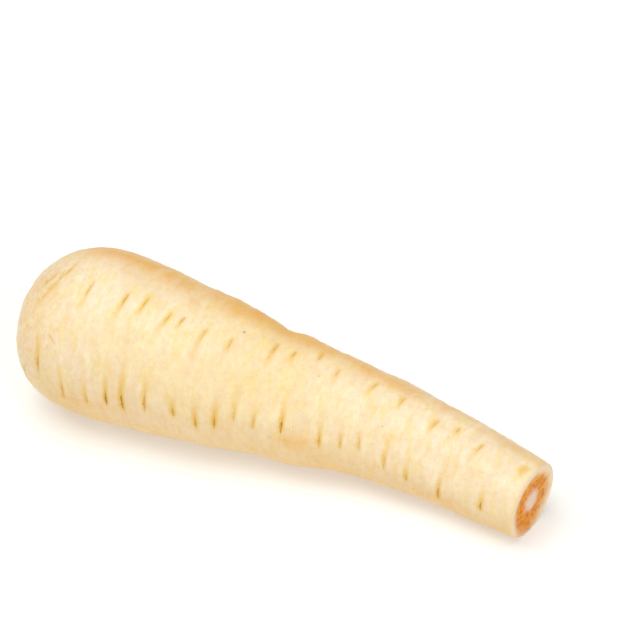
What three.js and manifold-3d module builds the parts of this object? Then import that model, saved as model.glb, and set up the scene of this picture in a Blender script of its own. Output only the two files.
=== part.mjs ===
// A raw parsnip lying on its side. The leaf end is trimmed to a stump in a sunken crown,
// and the thin tail is cut off, which leaves a flat tip.
// Millimetres, +Z up. The root lies along X, crown at -X and tip at +X. The origin is on the
// surface it rests on, under the middle of its box.
// A point of the root is given by its station, counted along the root from the crown, by its
// angle round the root (0 is the top, 90 faces -Y) and by its radius from the spine.
import * as THREE from 'three';
import { mergeVertices } from 'three/addons/utils/BufferGeometryUtils.js';
import Module from 'manifold-3d';

// Driving dimensions
const LENGTH = 172;
const TIP_RADIUS = 12.4;
const TIP_CUT = LENGTH - 0.5;
const SKIN_COLOR = '#ecd3a0';

// The spine is the centre of each cross-section, at even steps from crown to tip.
const SPINE_START = -LENGTH / 2 - 0.4;
const SPINE_SIDE = [-1.6, -0.2, -1, 0.8, 2, -0.6, -5.8];
const SPINE_HEIGHT = [27.6, 26.4, 24.2, 20.7, 17.6, 14.6, 11.9];

// The outline of the root as (station, radius): the sunken crown, the skin, and the cut tip.
const CROWN_OUTLINE = [[4.6, 0], [4.4, 4.5], [5.2, 8], [4.2, 9.8], [1.4, 10.9], [0, 12.6]];
const SKIN_OUTLINE = [
  [0, 12.6], [1.4, 15.9], [4.5, 19.8], [9.5, 23.4], [17, 26.1], [26, 26.8], [40, 25.7], [62, 23.4],
  [86, 20], [110, 16.9], [132, 15.3], [152, 13.9], [167, 12.8], [TIP_CUT - 0.8, TIP_RADIUS],
];
const TIP_OUTLINE = [
  [TIP_CUT - 0.8, TIP_RADIUS], [TIP_CUT, TIP_RADIUS - 0.9], [TIP_CUT - 0.1, 9.6],
  [TIP_CUT - 0.9, 8.4], [TIP_CUT - 0.9, 4.6], [TIP_CUT - 0.3, 3.6], [TIP_CUT - 0.3, 0],
];
const CROWN_RINGS = 12;
const SKIN_RINGS = 62;
const SIDES = 36;
const SKIN_SAMPLES = 400;

// The tip was cut a little out of square: the underside is longer. The lean fades out up the root.
const CUT_LEAN = 0.08;
const CUT_LEAN_REACH = 30;

// The cross-section is nearly round: a little oval and a little three-sided, by a share of its
// radius, and both turn slowly along the root.
const OVAL = { share: 0.01, lobes: 2, turn: 1 / 31, start: 0 };
const THREE_SIDED = { share: 0.007, lobes: 3, turn: -1 / 19, start: 1.3 };

// Broad swells and hollows: rise in millimetres at the middle, and how far each reaches
// along the root in millimetres and round it in degrees.
const SWELLS = [
  { station: 5, angle: 2, along: 8, around: 36, rise: -1.6 },
  { station: 5, angle: 150, along: 9, around: 34, rise: 0.8 },
  { station: 24, angle: -8, along: 13, around: 40, rise: 0.6 },
  { station: 36, angle: 232, along: 16, around: 45, rise: 0.7 },
  { station: 42, angle: 140, along: 16, around: 40, rise: 0.5 },
  { station: 63, angle: -40, along: 6, around: 35, rise: 0.5 },
  { station: 70, angle: 262, along: 14, around: 40, rise: -0.7 },
  { station: 82, angle: -42, along: 4, around: 36, rise: -1.1 },
  { station: 85, angle: 134, along: 5, around: 42, rise: -0.3 },
  { station: 95, angle: 128, along: 10, around: 42, rise: 0.9 },
  { station: 120, angle: 250, along: 16, around: 50, rise: 0.5 },
];

// Scars of the side roots, in two files on the side that faces -Y and +Z, as
// [station, angle, length], and how far each file's scars slant along the root for each
// millimetre round it. Each has a twin across the root, in two more files, a little shifted,
// turned and changed in length by chance.
const LOWER_FILE = [
  [12, 87, 6], [21.5, 103, 8.5], [31, 101, 7], [38.5, 96, 8], [44, 94, 10], [51, 89, 8.5],
  [59, 90, 4.5], [65.5, 95, 6.5], [71, 90, 6.5], [76.5, 79, 5], [83, 81, 5], [91.5, 77, 6],
  [104, 83, 6], [111, 80, 5], [117.5, 74, 4.5], [127, 82, 6], [135, 90, 4], [146.5, 93, 6],
  [161, 84, 4.5],
];
const UPPER_FILE = [
  [24, 25, 7], [36, 24, 7], [42, 20, 6], [50, 24, 5.5], [54, 21, 4], [61, 26, 6.5], [69, 24, 4.5],
  [82, 11, 6], [88, 10, 4], [95.5, 0, 4], [102.5, 8, 3.5], [114.5, 4, 4], [124.5, 7, 4],
  [137, 14, 5], [144, 8, 3.5], [153, 14, 4.5], [169, 11, 4],
];
const LOWER_SLANT = 0.08;
const UPPER_SLANT = -0.1;
const SCAR_WIDTH = 1.3;
const SCAR_DEPTH = 0.75;
const SCAR_SEED = 41;
const TWIN_SHIFT = 3;
const TWIN_TURN = 7;
const TWIN_SHORTEST = 0.8;
const TWIN_LONGEST = 1.3;
const CLEAR_OF_ENDS = 6;

// The stump: cut bases of the leaf stalks, curved plates in whorls about the crown's middle.
const WHORLS = [
  { radius: 1.7, plates: 2, span: 150, cutAt: 1.4 },
  { radius: 4.3, plates: 3, span: 112, cutAt: 1.6 },
  { radius: 7.1, plates: 4, span: 86, cutAt: 2.2 },
];
const PLATE_THICKNESS = 2.2;
const PLATE_ENDS = 0.35;
const PLATE_ROOT_STATION = 6.2;
const PLATE_UNEVENNESS = 0.5;
const WHORL_TURN = 50;

const wasm = await Module();
wasm.setup();

const radians = THREE.MathUtils.degToRad;

// Seeded draws from 0 to 1, the same on every run.
function makeDraw(seed) {
  let state = seed;
  return () => {
    state = (state * 16807) % 2147483647;
    return state / 2147483647;
  };
}

const spine = new THREE.CatmullRomCurve3(
  SPINE_SIDE.map((side, i) => new THREE.Vector3(
    SPINE_START + LENGTH * i / (SPINE_SIDE.length - 1),
    side,
    SPINE_HEIGHT[i],
  )),
  false,
  'catmullrom',
);

function outlineCurve(points) {
  return new THREE.CatmullRomCurve3(points.map(([station, radius]) => new THREE.Vector3(station, radius, 0)));
}

const skinCurve = outlineCurve(SKIN_OUTLINE);
const skinSamples = skinCurve.getSpacedPoints(SKIN_SAMPLES);

// The plain radius of the skin at a station, read off the outline.
function skinRadius(station) {
  const next = skinSamples.findIndex((point) => point.x >= station);
  if (next <= 0) {
    return (next === 0 ? skinSamples[0] : skinSamples.at(-1)).y;
  }
  const [a, b] = [skinSamples[next - 1], skinSamples[next]];
  return THREE.MathUtils.lerp(a.y, b.y, (station - a.x) / (b.x - a.x));
}

function lobed({ share, lobes, turn, start }, station, angle) {
  return share * Math.sin(lobes * radians(angle) + turn * station + start);
}

// How much the skin stands out from the round at a point. It fades out towards the middle of
// either end.
function unevenness(station, angle, radius) {
  let rise = radius * (lobed(OVAL, station, angle) + lobed(THREE_SIDED, station, angle));
  for (const swell of SWELLS) {
    const turn = THREE.MathUtils.euclideanModulo(angle - swell.angle + 180, 360) - 180;
    const reach = ((station - swell.station) / swell.along) ** 2 + (turn / swell.around) ** 2;
    rise += swell.rise * Math.exp(-reach);
  }
  return rise * Math.min(1, radius / TIP_RADIUS);
}

// Where a point given by station, angle and radius lies.
function place(station, angle, radius) {
  const out = radius + unevenness(station, angle, radius);
  const sideways = -Math.sin(radians(angle)) * out;
  const upwards = Math.cos(radians(angle)) * out;
  const lean = Math.max(0, 1 - (LENGTH - station) / CUT_LEAN_REACH) ** 2 * CUT_LEAN * -upwards;
  const share = THREE.MathUtils.clamp((station + lean) / LENGTH, 0, 1);
  const along = spine.getTangent(share);
  const side = new THREE.Vector3(0, 0, 1).cross(along).normalize();
  const up = along.clone().cross(side);
  return spine.getPoint(share)
    .addScaledVector(along, station + lean - share * LENGTH)
    .addScaledVector(side, sideways)
    .addScaledVector(up, upwards);
}

// Moves every vertex of a geometry to where a rule puts it.
function reshape(geometry, rule) {
  const position = geometry.getAttribute('position');
  const vertex = new THREE.Vector3();
  for (let i = 0; i < position.count; i += 1) {
    const moved = rule(vertex.fromBufferAttribute(position, i));
    position.setXYZ(i, moved.x, moved.y, moved.z);
  }
  return geometry;
}

function toSolid(geometry) {
  const bare = geometry.clone();
  bare.deleteAttribute('normal');
  bare.deleteAttribute('uv');
  const merged = mergeVertices(bare);
  return new wasm.Manifold(new wasm.Mesh({
    numProp: 3,
    vertProperties: new Float32Array(merged.getAttribute('position').array),
    triVerts: new Uint32Array(merged.index.array),
  }));
}

function toGeometry(solid) {
  const mesh = solid.getMesh();
  const geometry = new THREE.BufferGeometry();
  geometry.setAttribute('position', new THREE.BufferAttribute(mesh.vertProperties, mesh.numProp));
  geometry.setIndex(new THREE.BufferAttribute(mesh.triVerts, 1));
  geometry.computeVertexNormals();
  return geometry;
}

// The root turned as on a lathe about Y, then laid along the spine.
function makeRoot() {
  const outline = [
    ...outlineCurve(CROWN_OUTLINE).getSpacedPoints(CROWN_RINGS).slice(0, -1),
    ...skinCurve.getSpacedPoints(SKIN_RINGS),
    ...TIP_OUTLINE.slice(1).map(([station, radius]) => new THREE.Vector3(station, radius, 0)),
  ];
  const lathe = new THREE.LatheGeometry(outline.map((point) => new THREE.Vector2(point.y, point.x)), SIDES);
  return toSolid(reshape(lathe, (vertex) => {
    const angle = THREE.MathUtils.radToDeg(Math.atan2(vertex.x, vertex.z));
    return place(vertex.y, angle, Math.hypot(vertex.x, vertex.z));
  }));
}

// A slit that follows the skin: a ball squeezed thin along the root and bent round it.
function makeSlit({ station, angle, length, slant }) {
  const radius = skinRadius(station);
  return toSolid(reshape(new THREE.SphereGeometry(1, 4, 4), (vertex) => {
    const arc = -vertex.y * length / 2;
    return place(
      station + vertex.x * SCAR_WIDTH / 2 + arc * slant,
      angle + THREE.MathUtils.radToDeg(arc / radius),
      radius + vertex.z * SCAR_DEPTH,
    );
  }));
}

function allScars() {
  const draw = makeDraw(SCAR_SEED);
  const between = (low, high) => low + (high - low) * draw();
  const withSlant = (slant) => ([station, angle, length]) => ({ station, angle, length, slant });
  const seen = [...LOWER_FILE.map(withSlant(LOWER_SLANT)), ...UPPER_FILE.map(withSlant(UPPER_SLANT))];
  const twins = seen.map(({ station, angle, length, slant }) => ({
    station: THREE.MathUtils.clamp(
      station + between(-TWIN_SHIFT, TWIN_SHIFT),
      CLEAR_OF_ENDS,
      LENGTH - CLEAR_OF_ENDS,
    ),
    angle: angle + 180 + between(-TWIN_TURN, TWIN_TURN),
    length: length * between(TWIN_SHORTEST, TWIN_LONGEST),
    slant,
  }));
  return [...seen, ...twins];
}

// A plate bent about the crown's middle, standing up from its floor and thinner to either end.
function makePlate(radius, middle, span, cutAt) {
  const height = PLATE_ROOT_STATION - cutAt;
  return toSolid(reshape(new THREE.BoxGeometry(1, 1, 1, 6), (vertex) => {
    const thickness = PLATE_THICKNESS * THREE.MathUtils.lerp(1, PLATE_ENDS, (2 * vertex.x) ** 2);
    return place(
      cutAt + height * (0.5 - vertex.y),
      middle + span * vertex.x,
      radius - thickness * vertex.z,
    );
  }));
}

function makeStump() {
  return WHORLS.flatMap(({ radius, plates, span, cutAt }, ring) => Array.from({ length: plates }, (_, k) => {
    const middle = WHORL_TURN * ring + 360 * k / plates;
    return makePlate(radius, middle, span, cutAt + PLATE_UNEVENNESS * Math.sin(2 * k + ring));
  }));
}

// What lies below the surface that the root rests on is cut off, which leaves it two flat spots.
function makeGround() {
  const ground = new THREE.BoxGeometry(2 * LENGTH, LENGTH, LENGTH);
  ground.translate(0, 0, -LENGTH / 2);
  return toSolid(ground);
}

let parsnip = makeRoot();
for (const plate of makeStump()) {
  parsnip = parsnip.add(plate);
}
for (const scar of allScars()) {
  parsnip = parsnip.subtract(makeSlit(scar));
}
parsnip = parsnip.subtract(makeGround());

const mesh = new THREE.Mesh(
  toGeometry(parsnip),
  new THREE.MeshStandardMaterial({ color: SKIN_COLOR, roughness: 0.55, metalness: 0 }),
);
mesh.name = 'parsnip';

const root = new THREE.Group();
root.add(mesh);

export default root;
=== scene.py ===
"""A raw parsnip with a trimmed, sunken crown and a cut tip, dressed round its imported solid."""
import math
from types import SimpleNamespace

import bpy
import numpy as np
from bpy.props import FloatProperty, FloatVectorProperty, IntProperty, PointerProperty
from mathutils import Matrix, Vector, noise


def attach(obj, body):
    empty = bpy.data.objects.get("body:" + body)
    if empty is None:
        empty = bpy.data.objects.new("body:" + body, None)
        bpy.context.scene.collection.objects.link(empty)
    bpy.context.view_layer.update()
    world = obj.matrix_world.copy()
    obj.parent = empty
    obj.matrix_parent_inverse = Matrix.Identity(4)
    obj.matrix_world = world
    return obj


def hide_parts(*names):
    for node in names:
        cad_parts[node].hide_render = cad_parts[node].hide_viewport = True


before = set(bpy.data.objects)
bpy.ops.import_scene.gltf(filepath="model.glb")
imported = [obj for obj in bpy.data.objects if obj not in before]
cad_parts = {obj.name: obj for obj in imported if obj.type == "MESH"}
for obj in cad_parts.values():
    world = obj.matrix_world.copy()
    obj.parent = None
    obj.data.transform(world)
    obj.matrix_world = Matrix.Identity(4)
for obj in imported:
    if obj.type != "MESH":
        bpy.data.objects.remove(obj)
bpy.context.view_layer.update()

bl_info = {
    "name": "Parsnip",
    "version": (1, 0, 0),
    "blender": (4, 5, 0),
    "location": "View3D > Sidebar > Parsnip",
    "description": "Models a raw parsnip lying on its side, with a plain studio to show it in",
    "category": "Add Mesh",
}

NODE = "parsnip"
BODY = "root"
MM = 0.001

# The root's own measures, in millimetres. A point of the root is given by its station, counted
# along the root from the crown, by its angle round the root in degrees (0 is the top, 90 faces
# -Y) and by its radius from the spine.
LENGTH = 172.0
TIP_RADIUS = 12.4
TIP_CUT = LENGTH - 0.5

# The edge of the cut tip is rounded off over this much, along the root and across it.
TIP_EDGE = 0.5
TIP_EDGE_ACROSS = 0.6

# The spine: points evenly spaced along X, each with its place along Y and its height.
SPINE_SHIFT = -0.4
SPINE_START = SPINE_SHIFT - LENGTH / 2
SPINE_SIDE = [-1.6, -0.2, -1, 0.8, 2, -0.6, -5.8]
SPINE_HEIGHT = [27.6, 26.4, 24.2, 20.7, 17.6, 14.6, 11.9]
SPINE = np.column_stack([
    SPINE_START + LENGTH * np.arange(len(SPINE_SIDE)) / (len(SPINE_SIDE) - 1),
    SPINE_SIDE,
    SPINE_HEIGHT,
])

# The outline as (station, radius): the sunken crown, the skin, and the cut tip.
CROWN_OUTLINE = [(4.6, 0), (4.4, 4.5), (5.2, 8), (4.2, 9.8), (1.4, 10.9), (0, 12.6)]
SKIN_OUTLINE = [
    (0, 12.6), (1.4, 15.9), (4.5, 19.8), (9.5, 23.4), (17, 26.1), (26, 26.8), (40, 25.7),
    (62, 23.4), (86, 20), (110, 16.9), (132, 15.3), (152, 13.9), (167, 12.8),
    (TIP_CUT - TIP_EDGE, TIP_RADIUS),
]
TIP_OUTLINE = [
    (TIP_CUT - TIP_EDGE, TIP_RADIUS), (TIP_CUT, TIP_RADIUS - TIP_EDGE_ACROSS),
    (TIP_CUT - 0.1, 9.8), (TIP_CUT - 0.5, 8.6), (TIP_CUT - 0.5, 4.6), (TIP_CUT - 0.3, 3.6),
    (TIP_CUT - 0.3, 0),
]

# Rings of the mesh along each stretch, sides round it, and steps of a curve between its points.
CROWN_RINGS = 34
SKIN_RINGS = 386
TIP_RINGS = 26
SIDES = 220
CURVE_STEPS = 40

# Closer vertices are merged, and lower relief is left out.
MERGE_WITHIN = 0.001
LEAST_HEIGHT = 1e-4

# The cut leans: its top moves towards the crown by this share of its height above the spine, and
# its underside the other way, less and less up to this distance from the tip.
CUT_LEAN = 0.04
CUT_LEAN_REACH = 30.0

# The cross-section: (share of the radius, lobes, turn per millimetre, start).
SECTION_LOBES = [(0.01, 2, 1 / 31, 0.0), (0.007, 3, -1 / 19, 1.3)]

# Swells and hollows: station, angle, reach along, reach round in degrees, rise.
SWELLS = [
    (5, 2, 8, 36, -1.6), (5, 150, 9, 34, 0.8), (24, -8, 13, 40, 0.6), (36, 232, 16, 45, 0.7),
    (42, 140, 16, 40, 0.5), (63, -40, 6, 35, 0.5), (70, 262, 14, 40, -0.7),
    (82, -42, 4, 36, -1.1), (85, 134, 5, 42, -0.3), (95, 128, 10, 42, 0.9),
    (120, 250, 16, 50, 0.5),
]

# Relief of the skin as noise: size, fineness round the root, seed, strength.
LUMPS = [(11, 2.2, 3, 1.0), (5, 4.5, 8, 0.5)]
WRINKLES = [(1.5, 2.4, 21, 1.0), (0.8, 4.0, 33, 0.6)]

# The lumps are lower by this share near the crown, and at their full height beyond it.
CROWN_CALM = 0.6
CROWN_CALM_STATIONS = (8, 26)

# Wrinkles keep this share of their height off the skin. Relief and marks ease in over this much.
WRINKLES_OFF_SKIN = 0.3
SKIN_EASE = 3.0

# The hollow's look starts this far out on the skin, and is at its full this much further in.
HOLLOW_STARTS = 1.5
HOLLOW_EASE = 9.0

# Folds in the hollow: waves, in radians a millimetre, that wander by up to so many radians.
FOLD_RATE = 2.4
FOLD_WANDER = 3
FOLD_NOISE = [(6, 1.2, 50, 1.0)]
FOLD_EASE = (0.1, 0.4)
FOLD_HEIGHT = 0.3

# The grain of the cut face, and where it eases in beyond the skin's end.
CUT_GRAIN = 0.9
CUT_GRAIN_SEED = 4.0
CUT_GRAIN_HEIGHT = 0.16
CUT_GRAIN_STARTS = 1.0
CUT_GRAIN_EASE = 2.0

# Scars of the side roots: station, angle, length, darkness. Each has a twin across the root.
LOWER_FILE = [
    (12, 86, 9.5, 0.62), (21.5, 102, 9.5, 0.5), (31, 101, 7, 0.5), (38.5, 96, 8, 1.0),
    (44, 94, 10, 0.9), (51, 89, 8.5, 0.6), (59, 90, 4.5, 0.7), (65.5, 95, 6.5, 0.75),
    (71, 90, 6.5, 0.85), (76.5, 79, 5, 0.35), (83, 81, 5, 0.45), (91.5, 77, 6, 1.0),
    (104, 83, 6, 0.55), (111, 80, 5, 0.45), (117.5, 74, 4.5, 0.3), (127, 82, 6, 0.5),
    (135, 90, 4, 0.6), (146.5, 93, 6, 0.65), (161, 84, 4.5, 0.75),
]
UPPER_FILE = [
    (24, 23, 7, 0.42), (36, 22, 7, 0.52), (42, 18, 6, 0.42), (50, 22, 5.5, 0.45),
    (54, 19, 4, 0.52), (61, 24, 6.5, 0.35), (69, 22, 4.5, 0.24), (82, 9, 6, 0.45),
    (88, 8, 4, 0.56), (95.5, -2, 4, 0.45), (102.5, 6, 3.5, 0.24), (114.5, 2, 4, 0.35),
    (124.5, 5, 4, 0.35), (137, 12, 5, 0.39), (144, 6, 3.5, 0.21), (153, 12, 4.5, 0.35),
    (169, 9, 4, 0.07),
]

# How far a slit moves along the root for each millimetre round it, in either file.
LOWER_SLANT = 0.08
UPPER_SLANT = -0.1

# A twin is moved, turned and stretched by draws within these, and stays clear of both ends.
TWIN_SHIFT = 3.0
TWIN_TURN = 7.0
TWIN_STRETCH = (0.8, 1.3)
CLEAR_OF_ENDS = 6.0

# The scars' tails run towards this angle, or the one across from it.
BETWEEN_FILES = 50.0

# The slants and bows of the slits have a seed of their own, this far from the first.
SLANT_SEED = 7
SLANT_SPREAD = 0.06
BOW_SPREAD = 0.01

# A scar's coloured tail ends this many half lengths from its middle, and fades over this many.
# Across it, the colours fade between two distances.
TAIL_ENDS = 4.0
TAIL_FADE = 0.5
MARK_REACH = (1.3, 1.9)

# A vertex takes the nearest mark in the window. A half length beyond a mark's end counts as this
# many millimetres, and a vertex with no mark is given the last distance.
MARK_WINDOW = 5.0
END_WEIGHT = 3
FAR_ACROSS = 9.0

# The lips shade one side of a slit, so the scars are drawn this much nearer the tip.
SCAR_SHIFT = 0.35

# The lips' unit in half widths of the slit, its growth for dark scars, then in that unit where
# they crest and how wide they are, and the share of their height that the palest have.
LIP_UNIT = 1.2
LIP_GROWTH = 1.2
LIP_CREST = 2.2
LIP_SPREAD = 1.1
PALE_LIP = 0.5

# The trough's reach in half widths, the half lengths between which it ends towards the tail and
# away from it, and the share of its depth that the palest has.
TROUGH_REACH = 2.2
TROUGH_TAIL = (0.2, 1.6)
TROUGH_HEAD = (0.2, 1.4)
PALE_TROUGH = 0.4

# Fine creases of the skin: station and angle of either end, bow in millimetres, darkness.
CREASES = [
    (16, 4, 12.6, 21, -0.5, 0.5), (12.8, 20, 9, 40, 0.3, 0.3), (12.5, 11, 7.5, 24, 0.2, 0.25),
    (15.8, 60, 17.4, 64, 0.3, 0.15),
    (19, 196, 12, 240, 1.5, 0.45), (10, 150, 7, 205, 1.0, 0.35), (13, 262, 9, 300, -1.2, 0.4),
    (6.4, 96, 5.8, 132, 0.8, 0.3),
]

# A crease is drawn up to this many half lengths from its middle, at this share of its darkness.
CREASE_WINDOW = 2
CREASE_TONE = 0.5

# Tan, gritty flushes of the skin: station, angle, reach along, reach round in mm, strength.
FLUSHES = [
    (96, 91, 5.5, 3.4, 0.8), (30, 108, 9, 3, 0.5), (54, 0, 2.4, 1.6, 0.5),
    (67, -8, 3.5, 2.0, 0.25), (118, -12, 12, 4, 0.5), (146, 104, 10, 3, 0.4), (60, 190, 9, 6, 0.5),
    (120, 214, 12, 5, 0.5), (84, 300, 10, 6, 0.45), (150, 250, 9, 4, 0.4),
]

# Amber stains of the skin: station, angle, reach along, reach round in mm, strength.
STAINS = [
    (169, 11, 2.2, 2.8, 1.0), (12.2, 27, 1.5, 2.6, 0.55), (9.5, 18, 1.6, 3.0, 0.35),
    (17.6, 56, 2.2, 0.9, 0.4), (43, 202, 2.0, 1.5, 0.6), (101, 262, 2.2, 1.6, 0.6),
    (158, 196, 1.8, 1.6, 0.8), (75, 150, 1.6, 1.2, 0.4),
]

# Small brown flecks: station, angle, radius in millimetres.
FLECKS = [
    (71.5, 8, 0.6), (123, 44, 0.35), (98, 20, 0.35), (46, 60, 0.3), (34, 118, 0.3), (63, 205, 0.5),
    (109, 235, 0.4), (27, 275, 0.45), (139, 300, 0.4), (88, 150, 0.35), (150, 180, 0.35),
]

# Painted shade along the back, drawn in tan, in degrees: its middle and the turns between which it
# fades. It narrows by so many degrees towards the tip, and pales by the last share.
BACK_SHADE_ANGLE = -24
BACK_SHADE_FULL = 4
BACK_SHADE_NONE = 34
BACK_SHADE_NARROWS = 10
BACK_SHADE_PALES = 0.3

# Painted shade on the underside, drawn in honey: its middle, and the turns from it between which it
# fades.
UNDER_SHADE_ANGLE = 165
UNDER_SHADE_TURNS = (40, 100)

# Stations between which the painted shade along the back and underneath sets in, the crown
# loses its own colour, and the skin turns golden and then pale again.
BEYOND_CROWN = (4, 22)
CROWN_TAN = (-4, 22)
GOLDEN_STARTS = (45, 80)
GOLDEN_ENDS = (100, 130)

# Radii on the cut tip between which the flesh meets the skin, and the ring and the core end.
FLESH_EDGE = (11.3, 12.6)
RING_EDGE = (7.3, 11.4)
CORE_EDGE = (1.8, 5.0)

# The browned ring lies off the middle of the cut by this much, towards -Y and up. Round one angle
# it spreads outward, less and less between two turns from it.
RING_OFFSET = (0.1, 0.3)
RING_SPREAD = 2.4
RING_SPREAD_AT = 165.0
RING_SPREAD_TURNS = (10, 65)

# Cut bases of the leaf stalks: whorl radius, plates, span in degrees, station of the cut.
WHORLS = [(1.7, 2, 150, 1.4), (4.3, 3, 112, 1.6), (7.1, 4, 86, 2.2)]
WHORL_TURN = 50.0
STALK_SEED = 11

# A plate: its thickness, the share of it left at the ends, that taper's power and the share lost
# at the top, the station of its foot, its lean outward about a height, how far the cuts differ,
# and the least radius.
PLATE_THICKNESS = 2.2
PLATE_ENDS = 0.35
PLATE_TAPER = 2.2
PLATE_ROUNDING = 0.3
PLATE_FOOT = 6.2
PLATE_LEAN = 0.5
PLATE_UPRIGHT = 0.2
PLATE_UNEVENNESS = 0.5
PLATE_INNERMOST = 0.15

# Cuts along each edge of a plate's box, rounds of smoothing, and the angle of a sharp edge.
PLATE_CUTS = 11
SMOOTH_ROUNDS = 3
SHARP_ANGLE = 50

# Ragged noise of a plate: its fineness each way, the range of its seed, how far it moves the cut
# and the sides, and how many degrees it turns them.
RAGGED_FINENESS = (4, 3, 1.5)
RAGGED_SEEDS = 50
RAGGED_CUT = 0.7
RAGGED_SIDE = 0.3
RAGGED_TURN = 6

# A plate's cut slopes along it by a draw up to the first, falls outward by the second, and falls
# towards both ends by the third.
CUT_SLOPE = 0.5
CUT_OUTWARD = 1.2
CUT_ENDS = 1.6

# The picture. The camera aims beside the parsnip, so that its middle shows at the given pixel.
PICTURE_SIZE = 640
PIXELS_PER_MM = 3.22
MIDDLE = Vector((-0.4, -1.0, 19.4)) * MM
MIDDLE_PIXEL = (281.5, 401.5)
SENSOR = 36.0

# The studio, in metres.
FLOOR_SIZE = 6.0
FAR_CLIP = 20
SKY_COLOUR = (1.0, 0.985, 0.96, 1.0)

# The lights: name, place, size, share of the key light's power.
LIGHTS = [("key", (-0.4, -0.7, 2.9), 2.4, 1.0), ("fill", (2.3, -1.3, 1.4), 2.0, 0.26)]


def srgb(hexa):
    """The linear colour of a six-digit web colour."""
    parts = [int(hexa[k:k + 2], 16) / 255 for k in (0, 2, 4)]
    return [p / 12.92 if p <= 0.04045 else ((p + 0.055) / 1.055) ** 2.4 for p in parts]


def make_draw(seed):
    """Seeded draws between two values, the same on every run."""
    state = seed

    def draw(low=0.0, high=1.0):
        nonlocal state
        state = (state * 16807) % 2147483647
        return low + (high - low) * state / 2147483647

    return draw


def size_prop(name, description, millimetres):
    return FloatProperty(name=name, description=description, default=millimetres * MM,
                         min=0.0, precision=5, unit="LENGTH")


def colour_prop(name, description, hexa):
    return FloatVectorProperty(name=name, description=description, default=srgb(hexa),
                               size=3, min=0.0, max=1.0, subtype="COLOR")


def share_prop(name, description, value):
    return FloatProperty(name=name, description=description, default=value, min=0.0, max=1.0,
                         subtype="FACTOR")


class ParsnipSkin(bpy.types.PropertyGroup):
    """Relief and colours of the skin"""
    lump_height: size_prop("Lumps", "Height of the broad unevenness of the skin", 0.3)
    wrinkle_height: size_prop("Wrinkles", "Height of the fine wrinkles round the root", 0.14)
    cream: colour_prop("Cream", "Palest skin", "fbebcd")
    straw: colour_prop("Straw", "Yellower patches and streaks of skin", "f6dd9a")
    rose: colour_prop("Rose", "Pink-tinged patches of skin", "f4dcba")
    # Tan also paints the shade along the back.
    tan: colour_prop("Tan", "Flushes at the crown, along the back and elsewhere", "f1b557")
    # Honey also paints the shade on the underside.
    honey: colour_prop("Honey", "Fine mottle of the skin, and its underside", "e4b666")
    roughness: share_prop("Roughness", "Roughness of the skin", 0.5)


class ParsnipScars(bpy.types.PropertyGroup):
    """Shape and colours of the side-root scars"""
    width: size_prop("Width", "Width of a slit", 1.0)
    depth: size_prop("Depth", "Depth of a slit", 0.16)
    lip: size_prop("Lip", "Height of the swelling either side of a slit", 0.16)
    seed: IntProperty(name="Seed", default=41,
                      description="Draws the far side's scars and the slant of all scars")
    amber: colour_prop("Amber", "Streaks that the scars trail, and stains", "ecbc3e")
    ochre: colour_prop("Ochre", "Slits, and the grit of the skin", "d69a22")
    umber: colour_prop("Umber", "Darkest middles of the slits, and flecks", "845a10")


class ParsnipCuts(bpy.types.PropertyGroup):
    """Colours of the cut tip and the sunken crown"""
    rim: colour_prop("Rim", "Pale flesh under the skin", "f6dfba")
    ring: colour_prop("Ring", "Browned ring of the cut tip", "f39a0c")
    ring_dark: colour_prop("Ring mottle", "Darker mottle of the browned ring", "c86a00")
    ring_pale: colour_prop("Ring clots", "Paler patches of the browned ring", "f6b854")
    core: colour_prop("Core", "Core of the cut tip", "f2d2bd")
    stalk: colour_prop("Stalk", "Sides of the leaf-stalk bases and the skin round them", "c39a5b")
    stalk_cut: colour_prop("Stalk cut", "Cut faces of the leaf-stalk bases", "dcbf88")
    stalk_vein: colour_prop("Stalk veins", "Browned veins in the cut faces", "9a6c34")
    # This colour also paints the shade deep in the crown's hollow and between its folds.
    stalk_dark_and_shade: colour_prop("Stalk gaps", "Withered skin between and on the stalk bases", "7c5527")


class ParsnipStudio(bpy.types.PropertyGroup):
    """Camera, floor and lights"""
    azimuth: FloatProperty(name="Azimuth", description="Camera's turn about the parsnip",
                           default=math.radians(24), subtype="ANGLE")
    elevation: FloatProperty(name="Elevation", description="Camera's height above the horizon",
                             default=math.radians(37), subtype="ANGLE")
    distance: size_prop("Distance", "From the camera to its aim", 1000)
    view_width: size_prop("View width", "Width of the view at the aim",
                          PICTURE_SIZE / PIXELS_PER_MM)
    floor: colour_prop("Floor", "Colour of the plain floor", "d6d5d2")
    floor_glow: FloatProperty(name="Floor glow", description="Light that the floor gives off",
                              default=0.36, min=0.0)
    key_power: FloatProperty(name="Key light", description="Power of the main soft light",
                             default=71.0, min=0.0, unit="POWER")
    sky: FloatProperty(name="Sky", description="Strength of the even light all round",
                       default=0.345, min=0.0)


# Geometry of the root, in millimetres.

def smooth_outline(points, count):
    """Evenly spaced points of the smooth curve through the given ones."""
    fixed = np.array(points, float)
    fixed = np.vstack([2 * fixed[0] - fixed[1], fixed, 2 * fixed[-1] - fixed[-2]])
    share = np.linspace(0, 1, CURVE_STEPS, endpoint=False)[:, None]
    pieces = []
    for a, b, c, d in zip(fixed, fixed[1:], fixed[2:], fixed[3:]):
        ab, bc, cd = (np.linalg.norm(q - p) ** 0.5 for p, q in ((a, b), (b, c), (c, d)))
        leave = ((b - a) / ab - (c - a) / (ab + bc) + (c - b) / bc) * bc
        arrive = ((c - b) / bc - (d - b) / (bc + cd) + (d - c) / cd) * bc
        pieces.append(b + leave * share + (3 * (c - b) - 2 * leave - arrive) * share**2
                      + (2 * (b - c) + leave + arrive) * share**3)
    dense = np.vstack([*pieces, fixed[-2]])
    steps = np.linalg.norm(np.diff(dense, axis=0), axis=1)
    run = np.concatenate([[0], np.cumsum(steps)])
    even = np.linspace(0, run[-1], count)
    return np.column_stack([np.interp(even, run, dense[:, k]) for k in (0, 1)])


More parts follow.
